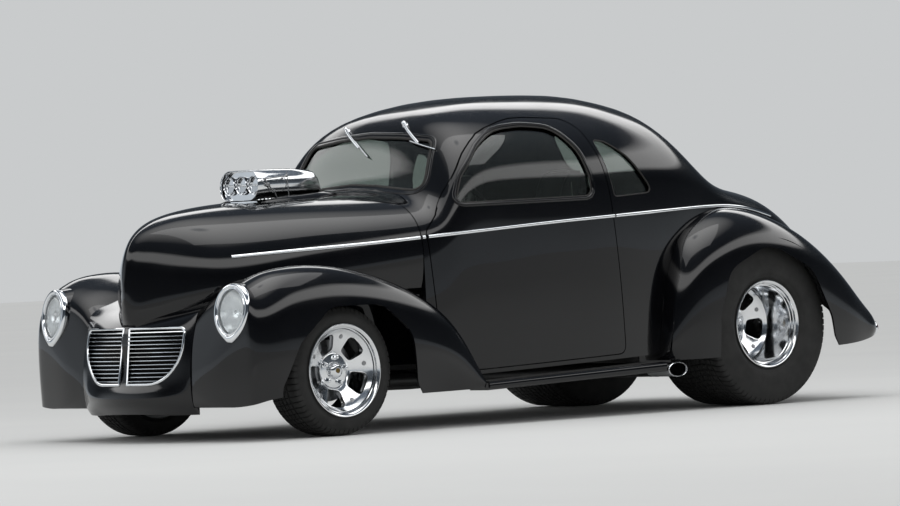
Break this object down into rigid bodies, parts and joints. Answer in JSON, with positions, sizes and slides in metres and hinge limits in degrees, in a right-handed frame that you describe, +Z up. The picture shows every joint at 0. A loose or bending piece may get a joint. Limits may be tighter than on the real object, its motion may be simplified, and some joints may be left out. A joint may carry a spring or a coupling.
{
  "type": "1940s coupe hot rod",
  "caption": "Black 1940s coupe hot rod with an injector scoop through the hood, opening doors, hood and trunk, and steered front wheels.",
  "frame": {"origin": "on the ground under the middle of the car's bounding box", "axes": "+X forward, +Y to the car's left, +Z up"},
  "size_m": [4.18, 1.766, 1.505],
  "materials": {
    "black_paint": "gloss",
    "chassis_paint": "satin",
    "chrome": "mirror",
    "polished_alloy": "polished",
    "steel": "machined",
    "iron": "painted",
    "tyre_rubber": "matte",
    "tinted_glass": "clear",
    "lamp_glass": "clear",
    "red_lens": "gloss",
    "seat_hide": "satin",
    "trim_black": "matte"
  },
  "bodies": {
    "car_body": {"cabin_shell": "black_paint", "floor_pan": "trim_black", "nose_panel": "black_paint", "front_fender_left": "black_paint", "front_fender_right": "black_paint", "rear_fender_left": "black_paint", "rear_fender_right": "black_paint", "running_boards": "black_paint", "grille": "chrome", "radiator": "steel", "headlight_rims": "chrome", "headlight_bowls": "chrome", "headlight_lenses": "lamp_glass", "tail_lamps": "red_lens", "fixed_glass": "tinted_glass", "injector_scoop": "polished_alloy", "chassis_frame": "chassis_paint", "engine_block": "iron", "drive_shaft": "steel", "transmission_tunnel": "trim_black", "rear_axle": "iron", "front_suspension": "steel", "exhaust_pipes": "chassis_paint", "seat_cushions": "seat_hide", "seat_backs": "seat_hide", "dashboard": "trim_black", "steering_wheel": "trim_black"},
    "hood": {"hood": "black_paint"},
    "trunk_lid": {"trunk_lid": "black_paint"},
    "door_left": {"door_left": "black_paint", "door_glass_left": "tinted_glass"},
    "door_right": {"door_right": "black_paint", "door_glass_right": "tinted_glass"},
    "knuckle_left": {"knuckle_left": "iron"},
    "knuckle_right": {"knuckle_right": "iron"},
    "wheel_fl": {"rim_fl": "polished_alloy", "tyre_fl": "tyre_rubber", "brake_disc_fl": "steel"},
    "wheel_fr": {"rim_fr": "polished_alloy", "tyre_fr": "tyre_rubber", "brake_disc_fr": "steel"},
    "wheel_rl": {"rim_rl": "polished_alloy", "tyre_rl": "tyre_rubber"},
    "wheel_rr": {"rim_rr": "polished_alloy", "tyre_rr": "tyre_rubber"}
  },
  "joints": [
    {"name": "steer_left", "type": "hinge", "parent": "car_body", "child": "knuckle_left", "pos_m": [1.43, 0.6, 0.288], "axis": [0, 0, 1], "range_deg": [-25, 25]},
    {"name": "steer_right", "type": "hinge", "parent": "car_body", "child": "knuckle_right", "pos_m": [1.43, -0.6, 0.288], "axis": [0, 0, 1], "range_deg": [-25, 25]},
    {"name": "spin_fl", "type": "hinge", "parent": "knuckle_left", "child": "wheel_fl", "pos_m": [1.43, 0.661, 0.288], "axis": [0, 1, 0], "continuous": true},
    {"name": "spin_fr", "type": "hinge", "parent": "knuckle_right", "child": "wheel_fr", "pos_m": [1.43, -0.661, 0.288], "axis": [0, 1, 0], "continuous": true},
    {"name": "spin_rl", "type": "hinge", "parent": "car_body", "child": "wheel_rl", "pos_m": [-1.161, 0.602, 0.381], "axis": [0, 1, 0], "continuous": true},
    {"name": "spin_rr", "type": "hinge", "parent": "car_body", "child": "wheel_rr", "pos_m": [-1.161, -0.602, 0.381], "axis": [0, 1, 0], "continuous": true},
    {"name": "door_left_hinge", "type": "hinge", "parent": "car_body", "child": "door_left", "pos_m": [0.782, 0.652, 0.7], "axis": [0, 0, -1], "range_deg": [0, 55]},
    {"name": "door_right_hinge", "type": "hinge", "parent": "car_body", "child": "door_right", "pos_m": [0.782, -0.652, 0.7], "axis": [0, 0, 1], "range_deg": [0, 55]},
    {"name": "hood_hinge", "type": "hinge", "parent": "car_body", "child": "hood", "pos_m": [0.816, 0, 1.074], "axis": [0, -1, 0], "range_deg": [0, 45]},
    {"name": "trunk_hinge", "type": "hinge", "parent": "car_body", "child": "trunk_lid", "pos_m": [-1.226, 0, 1.085], "axis": [0, 1, 0], "range_deg": [0, 60]}
  ],
  "couplings": [
    {"joint": "steer_right", "follows": "steer_left", "ratio": 1}
  ]
}
